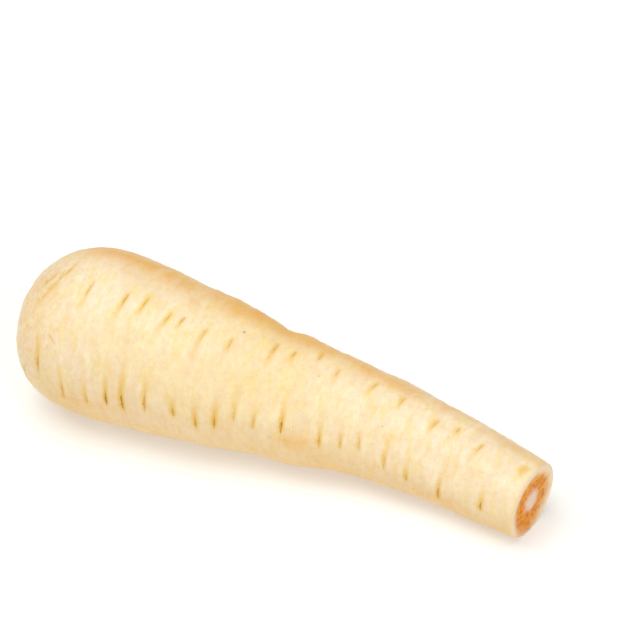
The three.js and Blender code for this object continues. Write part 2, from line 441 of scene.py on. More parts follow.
def whole_outline():
    """The outline from the middle of the crown to the middle of the cut tip."""
    crown = smooth_outline(CROWN_OUTLINE, CROWN_RINGS)
    skin = smooth_outline(SKIN_OUTLINE, SKIN_RINGS)
    tip = smooth_outline(TIP_OUTLINE, TIP_RINGS)
    return np.vstack([crown[:-1], skin, tip[1:]])


OUTLINE = whole_outline()
OUTLINE_RUN = np.concatenate([[0], np.cumsum(np.linalg.norm(np.diff(OUTLINE, axis=0), axis=1))])
SKIN_STARTS = OUTLINE_RUN[CROWN_RINGS - 1]
SKIN_ENDS = OUTLINE_RUN[CROWN_RINGS + SKIN_RINGS - 2]


def turn_between(angle, other):
    """The signed turn from one angle to another, in degrees."""
    return (angle - other + 180) % 360 - 180


def unevenness(station, angle, radius):
    """How far the skin stands out from the round."""
    rise = 0
    for share, lobes, turn, start in SECTION_LOBES:
        rise = rise + radius * share * np.sin(lobes * np.radians(angle) + turn * station + start)
    for at, towards, along, around, height in SWELLS:
        reach = ((station - at) / along) ** 2 + (turn_between(angle, towards) / around) ** 2
        rise = rise + height * np.exp(-reach)
    return rise * np.minimum(1, radius / TIP_RADIUS)


def spine_point(share):
    """Centre of the section at a share of the length."""
    knots = np.vstack([2 * SPINE[0] - SPINE[1], SPINE, 2 * SPINE[-1] - SPINE[-2]])
    span = np.clip(share, 0, 1) * (len(SPINE) - 1)
    first = np.minimum(span.astype(int), len(SPINE) - 2)
    t = (span - first)[:, None]
    a, b, c, d = (knots[first + k] for k in range(4))
    return (b + (c - a) / 2 * t + (2 * a - 5 * b + 4 * c - d) / 2 * t**2
            + (3 * b - a - 3 * c + d) / 2 * t**3)


def unit(vectors):
    return vectors / np.linalg.norm(vectors, axis=1, keepdims=True)


def lay(station, angle, radius):
    """Places points given by station, angle and radius in the row frame, in millimetres."""
    out = radius + unevenness(station, angle, radius)
    sideways = -np.sin(np.radians(angle)) * out
    upwards = np.cos(np.radians(angle)) * out
    lean = np.maximum(0, 1 - (LENGTH - station) / CUT_LEAN_REACH) ** 2 * CUT_LEAN * -upwards
    share = np.clip((station + lean) / LENGTH, 0, 1)
    nudge = 1e-4
    along = unit(spine_point(share + nudge) - spine_point(share - nudge))
    side = unit(np.cross([0, 0, 1], along))
    up = np.cross(along, side)
    beyond = station + lean - share * LENGTH
    return (spine_point(share) + along * beyond[:, None] + side * sideways[:, None]
            + up * upwards[:, None])


def fade(distance, full, none):
    """1 up to one distance, 0 beyond the other, and smooth between."""
    share = np.clip((none - distance) / (none - full), 0, 1)
    return share * share * (3 - 2 * share)


def fade_in(distance, none, full):
    """0 up to one distance, 1 beyond the other, and smooth between."""
    return fade(-distance, -full, -none)


def noise_at(places):
    """Noise from about -1 to 1 at every place."""
    return np.array([noise.noise(Vector(place)) for place in places])


def grain(layers, along, angle):
    """Layers of seeded noise over the skin, by the distance along it and the angle round it."""
    a = np.radians(angle)
    height = 0
    for size, turns, seed, strength in layers:
        places = [along / size + seed, np.cos(a) * turns, np.sin(a) * turns - seed]
        height = height + strength * noise_at(np.column_stack(places).tolist())
    return height


# Meshes.

def start_fresh():
    """Leaves edit mode and deselects everything."""
    if bpy.context.object and bpy.context.object.mode != "OBJECT":
        bpy.ops.object.mode_set(mode="OBJECT")
    bpy.ops.object.select_all(action="DESELECT")


def edit_all():
    """Enters edit mode with everything selected."""
    bpy.ops.object.mode_set(mode="EDIT")
    bpy.ops.mesh.select_all(action="SELECT")


def coordinates(piece):
    """The piece's vertices as an array of millimetres."""
    found = np.empty(len(piece.data.vertices) * 3, np.float32)
    piece.data.vertices.foreach_get("co", found)
    return found.reshape(-1, 3).astype(float) / MM


def move_to(piece, places):
    """Puts the piece's vertices at places given in millimetres."""
    piece.data.vertices.foreach_set("co", (places * MM).astype(np.float32).ravel())
    piece.data.update()


def write_attribute(piece, name, values):
    """Stores a value for each vertex, which the finish reads."""
    made = piece.data.attributes.get(name) or piece.data.attributes.new(name, "FLOAT", "POINT")
    made.data.foreach_set("value", np.asarray(values, np.float32))


def read_attribute(piece, name):
    """The stored value of each vertex."""
    found = np.empty(len(piece.data.vertices), np.float32)
    piece.data.attributes[name].data.foreach_get("value", found)
    return found.astype(float)


def emboss(piece, name, heights):
    """Raises or sinks the surface by weighted Displace modifiers. heights are in millimetres."""
    for sign in (1, -1):
        rise = np.maximum(0, sign * heights)
        top = rise.max()
        if top < LEAST_HEIGHT:
            continue
        group = piece.vertex_groups.new(name=name)
        for index in np.nonzero(rise > LEAST_HEIGHT)[0].tolist():
            group.add([index], rise[index] / top, "REPLACE")
        modifier = piece.modifiers.new(name, "DISPLACE")
        modifier.vertex_group = group.name
        modifier.mid_level = 0.0
        modifier.strength = sign * top * MM
        bpy.ops.object.modifier_apply(modifier=modifier.name)
        piece.vertex_groups.remove(piece.vertex_groups[name])


def spin_outline():
    """One vertex is pushed along the outline, and the line is spun about X."""
    start_fresh()
    points = [Vector((station * MM, 0, radius * MM)) for station, radius in OUTLINE.tolist()]
    bpy.ops.mesh.primitive_plane_add(size=1 * MM, location=points[0])
    piece = bpy.context.object
    bpy.ops.object.transform_apply(location=True)
    bpy.ops.object.mode_set(mode="EDIT")
    bpy.ops.mesh.merge(type="CENTER")
    for here, there in zip(points, points[1:]):
        bpy.ops.mesh.extrude_vertices_move(TRANSFORM_OT_translate={"value": there - here})
    bpy.ops.object.mode_set(mode="OBJECT")
    write_attribute(piece, "run", OUTLINE_RUN)
    edit_all()
    bpy.ops.mesh.spin(steps=SIDES, angle=2 * math.pi, center=(0, 0, 0), axis=(1, 0, 0))
    bpy.ops.mesh.select_all(action="SELECT")
    bpy.ops.mesh.remove_doubles(threshold=MERGE_WITHIN * MM)
    bpy.ops.mesh.normals_make_consistent(inside=False)
    bpy.ops.object.mode_set(mode="OBJECT")
    return piece


def angle_of(side, up):
    """The angle round the root of places in its cross-section."""
    return np.degrees(np.arctan2(-side, up))


class PlacesOnRoot:
    """Where each vertex of the root lies before it is laid along the spine.

    run is its distance along the outline, section its two distances from the axis, on_skin
    falls from 1 on the skin to 0 off it, and hollow rises from 0 to 1 into the crown.
    """

    def __init__(self, piece):
        self.run = read_attribute(piece, "run")
        self.station = np.interp(self.run, OUTLINE_RUN, OUTLINE[:, 0])
        self.radius = np.interp(self.run, OUTLINE_RUN, OUTLINE[:, 1])
        self.section = coordinates(piece)[:, 1:]
        self.angle = angle_of(self.section[:, 0], self.section[:, 1])
        from_crown = np.clip((self.run - SKIN_STARTS + SKIN_EASE) / SKIN_EASE, 0, 1)
        from_tip = np.clip((SKIN_ENDS - self.run) / SKIN_EASE, 0, 1)
        self.on_skin = from_crown * from_tip
        self.hollow = np.clip((SKIN_STARTS + HOLLOW_STARTS - self.run) / HOLLOW_EASE, 0, 1)


def all_scars(settings):
    """Station, angle, length, darkness, slant and tail direction of every scar."""
    draw = make_draw(settings.seed)
    seen = [(*scar, LOWER_SLANT) for scar in LOWER_FILE]
    seen += [(*scar, UPPER_SLANT) for scar in UPPER_FILE]
    twins = []
    for station, angle, length, darkness, slant in seen:
        moved = station + draw(-TWIN_SHIFT, TWIN_SHIFT)
        turned = angle + 180 + draw(-TWIN_TURN, TWIN_TURN)
        stretched = length * draw(*TWIN_STRETCH)
        moved = min(max(moved, CLEAR_OF_ENDS), LENGTH - CLEAR_OF_ENDS)
        twins.append((moved, turned, stretched, darkness, slant))
    for station, angle, length, darkness, slant in [*seen, *twins]:
        towards = 1 if turn_between(angle % 180, BETWEEN_FILES) < 0 else -1
        yield station, angle, length, darkness, slant, towards


class Marks:
    """For each vertex, its place beside the nearest scar or crease.

    across is the distance from the mark's middle line in millimetres, onward runs from 0 at its
    middle to 1 where it ends, reach falls from 1 at the mark to 0 round it, tone is how dark
    the mark is, and swell is the share of their height that the lips have.
    """

    def __init__(self, count):
        self.across = np.full(count, FAR_ACROSS)
        self.onward = np.zeros(count)
        self.reach = np.zeros(count)
        self.tone = np.zeros(count)
        self.swell = np.zeros(count)
        self.nearest = np.full(count, np.inf)

    def add(self, near, across, onward, tone):
        """Gives a mark to the vertices in near that no other mark is nearer to."""
        beyond_end = np.maximum(0, np.abs(onward) - 1)
        closeness = np.hypot(across, beyond_end * END_WEIGHT)
        reach = fade(np.abs(across), *MARK_REACH)
        reach = reach * fade(np.abs(onward), TAIL_ENDS, TAIL_ENDS + TAIL_FADE)
        better = closeness < self.nearest[near]
        chosen = near[better]
        self.nearest[chosen] = closeness[better]
        self.across[chosen] = across[better]
        self.onward[chosen] = onward[better]
        self.reach[chosen] = reach[better]
        self.tone[chosen] = tone

    def add_scar(self, at, scar, half_width, draw):
        """Adds the scar of a side root and its lips."""
        station, angle, length, darkness, slant, way = scar
        slant = slant + draw(-SLANT_SPREAD, SLANT_SPREAD)
        bow = draw(-BOW_SPREAD, BOW_SPREAD)
        near = np.nonzero(np.abs(at.station - station) < MARK_WINDOW)[0]
        arc = np.radians(turn_between(at.angle[near], angle)) * at.radius[near]
        across = at.station[near] - station - SCAR_SHIFT - slant * arc - bow * arc**2
        onward = arc * way / (length / 2)
        self.add(near, across, onward, darkness)
        wide = half_width * (LIP_UNIT + LIP_GROWTH * darkness)
        lips = np.exp(-((np.abs(across) - LIP_CREST * wide) / (LIP_SPREAD * wide)) ** 2 - onward**2)
        lips = lips * (PALE_LIP + (1 - PALE_LIP) * darkness)
        self.swell[near] = np.maximum(self.swell[near], lips)

    def add_crease(self, at, crease):
        """Adds a fine crease of the skin."""
        station_a, angle_a, station_b, angle_b, bow, darkness = crease
        along = turn_between(at.angle, angle_a) / turn_between(angle_b, angle_a) * 2 - 1
        middle = (station_a + station_b) / 2 + (station_b - station_a) / 2 * along
        across = at.station - middle + bow * (1 - along**2)
        near = np.nonzero((np.abs(across) < MARK_WINDOW) & (np.abs(along) < CREASE_WINDOW))[0]
        self.add(near, across[near], along[near], darkness * CREASE_TONE)


def mark_skin(settings, at):
    """The scars and creases of the whole root."""
    draw = make_draw(settings.seed + SLANT_SEED)
    half_width = settings.width / MM / 2
    marks = Marks(len(at.station))
    for scar in all_scars(settings):
        marks.add_scar(at, scar, half_width, draw)
    for crease in CREASES:
        marks.add_crease(at, crease)
    marks.reach *= at.on_skin
    return marks


def fold_waves(at):
    """Waves from -1 to 1 that run round the crown's hollow."""
    wander = FOLD_WANDER * grain(FOLD_NOISE, at.run, at.angle)
    return np.sin(at.run * FOLD_RATE + wander) * fade_in(at.hollow, *FOLD_EASE)


def emboss_skin(piece, skin, at):
    """Broad lumps and fine wrinkles."""
    lumps = grain(LUMPS, at.station, at.angle)
    calm = 1 - CROWN_CALM * fade(at.station, *CROWN_CALM_STATIONS)
    emboss(piece, "Lumps", lumps * skin.lump_height / MM * at.on_skin * calm)
    wrinkles = grain(WRINKLES, at.run, at.angle)
    kept = WRINKLES_OFF_SKIN + (1 - WRINKLES_OFF_SKIN) * at.on_skin
    emboss(piece, "Wrinkles", wrinkles * skin.wrinkle_height / MM * kept * (at.run < SKIN_ENDS))


def emboss_marks(piece, scars, at, marks):
    """Lips beside the slits, and troughs along the slits and the creases."""
    emboss(piece, "Lips", marks.swell * scars.lip / MM * at.on_skin)
    reach = scars.width / MM / 2 * TROUGH_REACH
    trough = fade(np.abs(marks.across), 0, reach) * fade(marks.onward, *TROUGH_TAIL)
    trough *= (fade(-marks.onward, *TROUGH_HEAD)
               * (PALE_TROUGH + (1 - PALE_TROUGH) * marks.tone) * marks.reach)
    emboss(piece, "Slits", -trough * scars.depth / MM)


def emboss_cut_face(piece, at):
    """The rough grain of the cut face."""
    face = np.clip((at.run - SKIN_ENDS - CUT_GRAIN_STARTS) / CUT_GRAIN_EASE, 0, 1)
    rough = noise_at([(side / CUT_GRAIN, up / CUT_GRAIN, CUT_GRAIN_SEED)
                      for side, up in at.section.tolist()])
    emboss(piece, "Cut face", rough * face * CUT_GRAIN_HEIGHT)


def lay_along_spine(piece):
    """Bends the straight root along its spine."""
    shaped = coordinates(piece)
    radius = np.hypot(shaped[:, 1], shaped[:, 2])
    move_to(piece, lay(shaped[:, 0], angle_of(shaped[:, 1], shaped[:, 2]), radius))


def flatten_underside(piece):
    """Presses flat what sinks below the surface that the root lies on."""
    bpy.ops.object.mode_set(mode="EDIT")
    bpy.ops.mesh.select_mode(type="VERT")
    bpy.ops.mesh.select_all(action="DESELECT")
    bpy.ops.object.mode_set(mode="OBJECT")
    piece.data.vertices.foreach_set("select", coordinates(piece)[:, 2] < 0)
    bpy.ops.object.mode_set(mode="EDIT")
    bpy.ops.transform.resize(value=(1, 1, 0), center_override=(0, 0, 0))
    bpy.ops.object.mode_set(mode="OBJECT")


def patches(places, at):
    """The strongest of scattered soft patches at each vertex."""
    strength = np.zeros(len(at.station))
    for station, angle, along, around, most in places:
        arc = np.radians(turn_between(at.angle, angle)) * at.radius
        spread = ((at.station - station) / along) ** 2 + (arc / around) ** 2
        strength = np.maximum(strength, most * np.exp(-spread))
    return strength


def ring_distance(at):
    """The distance from the middle of the browned ring, shortened where the ring spreads."""
    sideways = at.radius * np.sin(np.radians(at.angle)) - RING_OFFSET[0]
    upwards = at.radius * np.cos(np.radians(at.angle)) - RING_OFFSET[1]
    distance = np.hypot(sideways, upwards)
    spread = RING_SPREAD * fade(np.abs(turn_between(at.angle, RING_SPREAD_AT)), *RING_SPREAD_TURNS)
    return distance - spread * np.clip(distance / TIP_RADIUS, 0, 1) ** 2


def write_fields(piece, at, marks, folds):
    """Stores what the root's finish reads at each vertex."""
    beyond_crown = fade_in(at.station, *BEYOND_CROWN)
    # Painted shade along the back.
    back = fade(np.abs(turn_between(at.angle, BACK_SHADE_ANGLE)), BACK_SHADE_FULL,
                BACK_SHADE_NONE - BACK_SHADE_NARROWS * at.station / LENGTH)
    back *= beyond_crown * (1 - BACK_SHADE_PALES * at.station / LENGTH)
    # Painted shade on the underside.
    under = fade(np.abs(turn_between(at.angle, UNDER_SHADE_ANGLE)), *UNDER_SHADE_TURNS) * beyond_crown
    flecks = [(station, angle, radius, radius, 1.0) for station, angle, radius in FLECKS]
    before_edge = np.maximum(0, TIP_CUT - TIP_EDGE - at.station)
    fields = {
        "across": marks.across,
        "onward": marks.onward,
        "reach": marks.reach,
        "tone": marks.tone,
        "station": at.station,
        "back": back,
        "under": under,
        "flush": patches(FLUSHES, at) * at.on_skin,
        "stain": patches(STAINS, at) * at.on_skin,
        "fleck": patches(flecks, at) * at.on_skin,
        "cut": at.radius + before_edge,
        "ring": ring_distance(at) + before_edge,
        "hollow": at.hollow,
        "fold": folds * 0.5 + 0.5,
    }
    for name, values in fields.items():
        write_attribute(piece, name, values)


class PARSNIP_OT_add_root(bpy.types.Operator):
    """Model the root, from its sunken crown to its cut tip"""
    bl_idname = "parsnip.add_root"
    bl_label = "Add root"
    bl_options = {"REGISTER", "UNDO"}

    def execute(self, context):
        scars = context.scene.parsnip_scars
        piece = spin_outline()
        piece.name = piece.data.name = "parsnip_root"
        at = PlacesOnRoot(piece)
        marks = mark_skin(scars, at)
        folds = fold_waves(at)
        emboss_skin(piece, context.scene.parsnip_skin, at)
        emboss(piece, "Crown folds", folds * FOLD_HEIGHT)
        emboss_marks(piece, scars, at, marks)
        emboss_cut_face(piece, at)
        lay_along_spine(piece)
        flatten_underside(piece)
        write_fields(piece, at, marks, folds)
        bpy.ops.object.shade_smooth()
        piece.data.materials.append(root_finish(context.scene))
        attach(piece, BODY)
        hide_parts(NODE)
        return {"FINISHED"}


def shape_plate(radius, middle, span, cut_at, draw):
    """One cut stalk base: a box is subdivided, then bent about the crown's middle."""
    start_fresh()
    bpy.ops.mesh.primitive_cube_add(size=1 * MM)
    piece = bpy.context.object
    edit_all()
    bpy.ops.mesh.subdivide(number_cuts=PLATE_CUTS)
    bpy.ops.object.mode_set(mode="OBJECT")
    box = coordinates(piece)
    wide, deep, tall = box[:, 0], box[:, 1], box[:, 2]
    upper = np.clip(2 * tall, 0, 1)
    taper = 1 - (1 - PLATE_ENDS) * np.abs(2 * wide) ** PLATE_TAPER
    rounded = 1 - PLATE_ROUNDING * upper ** 4
    seed = draw(0, RAGGED_SEEDS)
    along, through, upward = RAGGED_FINENESS
    ragged = noise_at([(w * along + seed, d * through, t * upward) for w, d, t in box.tolist()])
    slope = draw(-CUT_SLOPE, CUT_SLOPE)
    rim = ragged * RAGGED_CUT + slope * wide * 2 + CUT_OUTWARD * deep + CUT_ENDS * np.abs(wide) ** 2
    station = cut_at + (PLATE_FOOT - cut_at) * (0.5 - tall) + upper * rim
    angle = middle + span * wide + RAGGED_TURN * ragged
    stretched = (radius + PLATE_THICKNESS * deep * taper * rounded
                 + PLATE_LEAN * (tall - PLATE_UPRIGHT) + RAGGED_SIDE * ragged)
    move_to(piece, lay(station, angle, np.maximum(PLATE_INNERMOST, stretched)))
    write_attribute(piece, "cut", np.clip((tall - 0.25) * 4, 0, 1))
    write_attribute(piece, "edge", np.maximum(np.abs(2 * deep) ** 2, np.abs(2 * wide) ** 6))
    return piece


class PARSNIP_OT_add_stalk_bases(bpy.types.Operator):
    """Model the trimmed bases of the leaf stalks in the sunken crown"""
    bl_idname = "parsnip.add_stalk_bases"
    bl_label = "Add stalk bases"
    bl_options = {"REGISTER", "UNDO"}

    def execute(self, context):
        draw = make_draw(STALK_SEED)
        plates = []
        for ring, (radius, count, span, cut_at) in enumerate(WHORLS):
            for k in range(count):
                middle = WHORL_TURN * ring + 360 * k / count
                cut = cut_at + PLATE_UNEVENNESS * math.sin(2 * k + ring)
                plates.append(shape_plate(radius, middle, span, cut, draw))
        start_fresh()
        for plate in plates:
            plate.select_set(True)
        context.view_layer.objects.active = plates[0]
        bpy.ops.object.join()
        piece = context.object
        piece.name = piece.data.name = "parsnip_stalk_bases"
        smoother = piece.modifiers.new("Soften", "CORRECTIVE_SMOOTH")
        smoother.iterations = SMOOTH_ROUNDS
        smoother.use_only_smooth = True
        bpy.ops.object.modifier_apply(modifier=smoother.name)
        edit_all()
        bpy.ops.mesh.normals_make_consistent(inside=False)
        bpy.ops.object.mode_set(mode="OBJECT")
        bpy.ops.object.shade_smooth_by_angle(angle=math.radians(SHARP_ANGLE))
        piece.data.materials.append(stalk_finish(context.scene))
        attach(piece, BODY)
        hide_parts(NODE)
        return {"FINISHED"}


# Materials.

class Field:
    """A value that varies over a material. Python's operators on it add Math nodes."""

    def __init__(self, finish, socket):
        self.finish = finish
        self.socket = socket

    def reckon(self, operation, *values):
        """Adds a Math node."""
        return self.finish.node("ShaderNodeMath", {"operation": operation}, values)

    def __add__(self, other):
        return self.reckon("ADD", self, other)

    def __radd__(self, other):
        return self.reckon("ADD", other, self)

    def __sub__(self, other):
        return self.reckon("SUBTRACT", self, other)

    def __rsub__(self, other):
        return self.reckon("SUBTRACT", other, self)

    def __mul__(self, other):
        return self.reckon("MULTIPLY", self, other)

    def __abs__(self):
        return self.reckon("ABSOLUTE", self)

    def at_least(self, low):
        """The value, or low where that is more."""
        return self.reckon("MAXIMUM", self, low)

    def above(self, low, high):
        """A soft step from 0 at low to 1 at high."""
        settings = {"interpolation_type": "SMOOTHSTEP"}
        return self.finish.node("ShaderNodeMapRange", settings, [self, low, high, 0.0, 1.0])


class Finish:
    """A procedural material and the nodes that it is made of."""

    def __init__(self, name):
        self.material = bpy.data.materials.new(name)
        self.material.use_nodes = True
        self.tree = self.material.node_tree
        self.shader = self.tree.nodes["Principled BSDF"]
        self.places = self.node("ShaderNodeTexCoord", output="Object")

    def node(self, kind, settings=None, inputs=(), output=0):
        """Adds a node by its type, its settings, and the values or links of its sockets."""
        made = self.tree.nodes.new(kind)
        for name, value in (settings or {}).items():
            setattr(made, name, value)
        named = inputs.items() if isinstance(inputs, dict) else enumerate(inputs)
        for key, value in named:
            self.feed(made.inputs[key], value)
        return Field(self, made.outputs[output])

    def feed(self, socket, value):
        """Sets a socket, or links it to what feeds it."""
        if isinstance(value, Field):
            self.tree.links.new(value.socket, socket)
        else:
            socket.default_value = value

    def attribute(self, name):
        """A value stored at the piece's vertices."""
        return self.node("ShaderNodeAttribute", {"attribute_name": name}, output="Fac")

    def moved(self, seed, squeeze):
        """Object coordinates moved by a seed and squeezed along each axis."""
        return self.node("ShaderNodeMapping", None,
                         {"Vector": self.places, "Location": (seed, -seed, seed), "Scale": squeeze})

    def cloud(self, size, detail=2.0, squeeze=(1, 1, 1), seed=0.0, roughness=0.5):
        """Noise from 0 to 1 with features of a size in millimetres, squeezed along each axis."""
        return self.node("ShaderNodeTexNoise", None, {
            "Vector": self.moved(seed, squeeze), "Scale": 1 / (size * MM), "Detail": detail,
            "Roughness": roughness,
        })

    def spots(self, size, seed=0.0, squeeze=(1, 1, 1)):
        """Distance from the nearest of scattered points, in cells of a size in millimetres."""
        return self.node("ShaderNodeTexVoronoi", None,
                         {"Vector": self.moved(seed, squeeze), "Scale": 1 / (size * MM)})

    def mix(self, share, first, second):
        """A colour between two: the first where share is 0, the second where it is 1."""
        return self.node("ShaderNodeMix", {"data_type": "RGBA"},
                         {0: share, 6: self.opaque(first), 7: self.opaque(second)}, output=2)

    @staticmethod
    def opaque(colour):
        """A colour with its alpha, or a field as it is."""
        return colour if isinstance(colour, Field) else (*colour, 1.0)

    def set_bump(self, height):
        """Feeds a height in millimetres to the shader's normal."""
        normal = self.node("ShaderNodeBump", None,
                           {"Strength": 1.0, "Distance": MM, "Height": height}, output="Normal")
        self.set_shader({"Normal": normal})

    def set_shader(self, values):
        """Sets or feeds the shader's own sockets, by their names."""
        for name, value in values.items():
            self.feed(self.shader.inputs[name], value)


def root_pattern(finish):
    """The noise that the colours of the skin share, from the broadest to the finest."""
    return SimpleNamespace(
        areas=finish.cloud(30, 3, (1, 1, 1), 2.0),
        bands=finish.cloud(4.5, 3, (1, 0.3, 0.3), 4.0, 0.55),
        streaks=finish.cloud(2.2, 4, (1, 0.3, 0.3), 5.0, 0.6),
        mottle=finish.cloud(1.9, 4, (1, 0.8, 0.8), 7.0, 0.7),
        speck=finish.cloud(0.5, 2, (1, 0.8, 0.8), 9.0, 0.6),
    )


def skin_colour(finish, pattern, skin):
    """Cream with straw patches and streaks, pink-tinged bands and a fine honey mottle."""
    station = finish.attribute("station")
    golden = station.above(*GOLDEN_STARTS) * (1 - station.above(*GOLDEN_ENDS))
    straw = pattern.areas.above(0.3, 0.7) * 0.45 + golden * 0.28
    colour = finish.mix(straw, skin.cream, skin.straw)
    colour = finish.mix(pattern.bands.above(0.4, 0.62) * 0.6, colour, skin.rose)
    colour = finish.mix(pattern.streaks.above(0.44, 0.7) * 0.75, colour, skin.straw)
    return finish.mix(pattern.mottle.above(0.3, 0.72) * 0.26, colour, skin.honey)


def flush_colour(finish, pattern, skin, scars, colour):
    """Tan at the crown and in flushes, painted shade in tan along the back and in honey underneath,
    ochre grit and amber stains.
    """
    areas, mottle = pattern.areas, pattern.mottle
    flush = finish.attribute("flush")
    crown = 1 - (finish.attribute("station") + areas * 16 - 8).above(*CROWN_TAN)
    # Tan along the back is painted shade; at the crown and in the flushes it is the skin's own.
    tan_and_shade = finish.attribute("back") * (areas.above(0.32, 0.62) * 0.5 + pattern.bands * 0.8)
    tan_and_shade = tan_and_shade + crown * mottle.above(0.35, 0.7) * 0.4 + flush * (0.4 + mottle * 0.6)
    colour = finish.mix(crown * 0.3, colour, skin.rose)
    colour = finish.mix(tan_and_shade, colour, skin.tan)
    # Painted shade on the underside, in honey.
    under = finish.attribute("under") * (0.2 + areas * 0.55)
    colour = finish.mix(under, colour, skin.honey)
    grit = pattern.speck.above(0.5, 0.72) * mottle.above(0.35, 0.65)
    colour = finish.mix(grit * (0.14 + crown * 0.4 + flush * 0.4), colour, scars.ochre)
    stain = finish.attribute("stain").above(0, 1.1) * (0.45 + mottle)
    return finish.mix(stain, colour, scars.amber)


def scar_colour(finish, pattern, scars, colour):
    """Ochre slits with dark middles and amber tails, and flecks. Also gives slits and threads."""
    mottle, speck = pattern.mottle, pattern.speck
    onward = finish.attribute("onward")
    reach = finish.attribute("reach")
    tone = finish.attribute("tone")
    behind = onward.at_least(0.0) * (1 / TAIL_ENDS) + (onward * -0.6).at_least(0.0)
    wander = finish.attribute("across") + (mottle - 0.5) * 0.8 + (speck - 0.5) * 0.4
    beside = abs(wander)
    around = abs(wander + 0.15)

    haze = (1 - behind).above(0, 0.9) * (1 - around.above(0.3, 1.9)) * reach
    haze = haze * (0.25 + tone * 0.4) * (0.3 + pattern.bands)
    colour = finish.mix(haze, colour, scars.amber)
    tail = (1 - behind * 1.6).above(0, 0.9) * (1 - around.above(0.1, 1.2)) * reach
    tail = tail * (0.12 + tone * 0.6) * (0.45 + pattern.streaks)
    colour = finish.mix(tail, colour, scars.amber)
    thread = (1 - beside.above(0.0, 0.28)) * reach * (1 - behind * 1.6).above(0.3, 0.8)
    broken = (speck + mottle * 0.5).above(0.66, 0.85)
    colour = finish.mix(thread * broken * 0.5, colour, scars.ochre)

    inside = onward * 1.2 + 0.18
    opening = (1 - inside * inside + (mottle - 0.5) * 1.4).at_least(0.0) * (0.26 + tone * 0.4)
    slit = (opening - beside).above(-0.2, 0.3) * reach * opening.above(0, 0.12)
    colour = finish.mix(slit * (0.08 + tone * 0.36), colour, scars.ochre)
    middle = (opening * 0.55 - beside + (speck - 0.5) * 0.6).above(0.0, 0.2) * reach
    middle = middle * tone.above(0.3, 1.1) * (mottle * 1.8 - 0.3)
    colour = finish.mix(middle, colour, scars.umber)
    flecked = (finish.attribute("fleck") + (speck - 0.5) * 0.5).above(0.25, 0.8) * 0.5
    return finish.mix(flecked, colour, scars.umber), slit, thread


def hollow_colour(finish, pattern, cuts, colour):
    """Dry skin in the crown's hollow, with painted shade deep inside and between its folds."""
    mottle = pattern.mottle
    hollow = finish.attribute("hollow")
    fold = finish.attribute("fold")
    dry = (hollow + (mottle - 0.5) * 0.5).above(0.05, 0.5) * 0.8
    colour = finish.mix(dry, colour, cuts.stalk)
    shade = hollow.above(0.25, 0.9) * 0.6 + (1 - fold) * hollow.above(0.15, 0.4) * mottle * 0.9
    return finish.mix(shade, colour, cuts.stalk_dark_and_shade)


def cut_colour(finish, cuts, colour):
    """Pale flesh, a browned ring and a pink core. Also gives the ring and its fibres."""
    fibre = finish.cloud(1.3, 3, (1, 1, 1), 12.0, 0.6)
    clots = finish.cloud(3.2, 2, (1, 1, 1), 15.0, 0.5)
    distance = finish.attribute("ring") + (fibre - 0.5) + (clots - 0.5) * 1.6
    flesh = 1 - finish.attribute("cut").above(*FLESH_EDGE)
    ring = 1 - distance.above(*RING_EDGE)
    core = 1 - distance.above(*CORE_EDGE)
    brown = finish.mix(fibre.above(0.36, 0.72), cuts.ring, cuts.ring_dark)
    brown = finish.mix(clots.above(0.5, 0.7) * 0.6, brown, cuts.ring_pale)
    colour = finish.mix(flesh, colour, cuts.rim)
    colour = finish.mix(ring, colour, brown)
    return finish.mix(core, colour, cuts.core), ring, fibre


def root_finish(scene):
    """Cream skin with straw patches, amber scars, a tan crown and a browned cut tip."""
    skin, scars, cuts = scene.parsnip_skin, scene.parsnip_scars, scene.parsnip_cuts
    finish = Finish("Parsnip root")
    pattern = root_pattern(finish)
    mottle, speck = pattern.mottle, pattern.speck
    colour = skin_colour(finish, pattern, skin)
    colour = flush_colour(finish, pattern, skin, scars, colour)
    colour, slit, thread = scar_colour(finish, pattern, scars, colour)
    colour = hollow_colour(finish, pattern, cuts, colour)
    colour, ring, fibre = cut_colour(finish, cuts, colour)
    wrinkles = finish.cloud(1.3, 3, (1, 0.22, 0.22), 14.0, 0.6)
    finish.set_bump(wrinkles * 0.1 + speck * 0.05 + mottle * 0.06 - slit * 0.06 - thread * 0.04
                    + fibre * ring * 0.05)
    finish.set_shader({
        "Base Color": colour,
        "Roughness": skin.roughness + (mottle - 0.5) * 0.16 + slit * 0.2 + ring * 0.15,
        "Subsurface Weight": 0.2,
        "Subsurface Radius": (1.0, 0.5, 0.2),
        "Subsurface Scale": 3 * MM,
        "Specular IOR Level": 0.4,
    })
    return finish.material


def stalk_finish(scene):
    """Dry tan stalk bases with paler cut faces and dark gaps."""
    cuts = scene.parsnip_cuts
    finish = Finish("Parsnip stalk bases")
    cut = finish.attribute("cut")
    edge = finish.attribute("edge")
    fibre = finish.cloud(0.9, 3, (0.3, 1, 1), 3.0, 0.6)
    mottle = finish.cloud(2.4, 3, (1, 1, 1), 5.0)
    veins = finish.spots(1.0, 4.0, (0.4, 1, 1))
    side = finish.mix(mottle.above(0.35, 0.7), cuts.stalk, cuts.stalk_dark_and_shade)
    top = finish.mix((1 - veins.above(0.1, 0.32)) * 0.7, cuts.stalk_cut, cuts.stalk_vein)
    top = finish.mix(mottle.above(0.4, 0.7) * 0.7, top, cuts.stalk_vein)
    dried = (edge + (fibre - 0.5) * 0.7).above(0.45, 0.95)
    top = finish.mix(dried, top, cuts.stalk)
    colour = finish.mix(cut.above(0.3, 0.8), side, top)
    colour = finish.mix(fibre.above(0.5, 0.8) * 0.35, colour, cuts.stalk_dark_and_shade)
    finish.set_shader({"Base Color": colour, "Roughness": 0.75 + (fibre - 0.5) * 0.2})
    finish.set_bump(fibre * 0.15 + mottle * 0.1)
    return finish.material


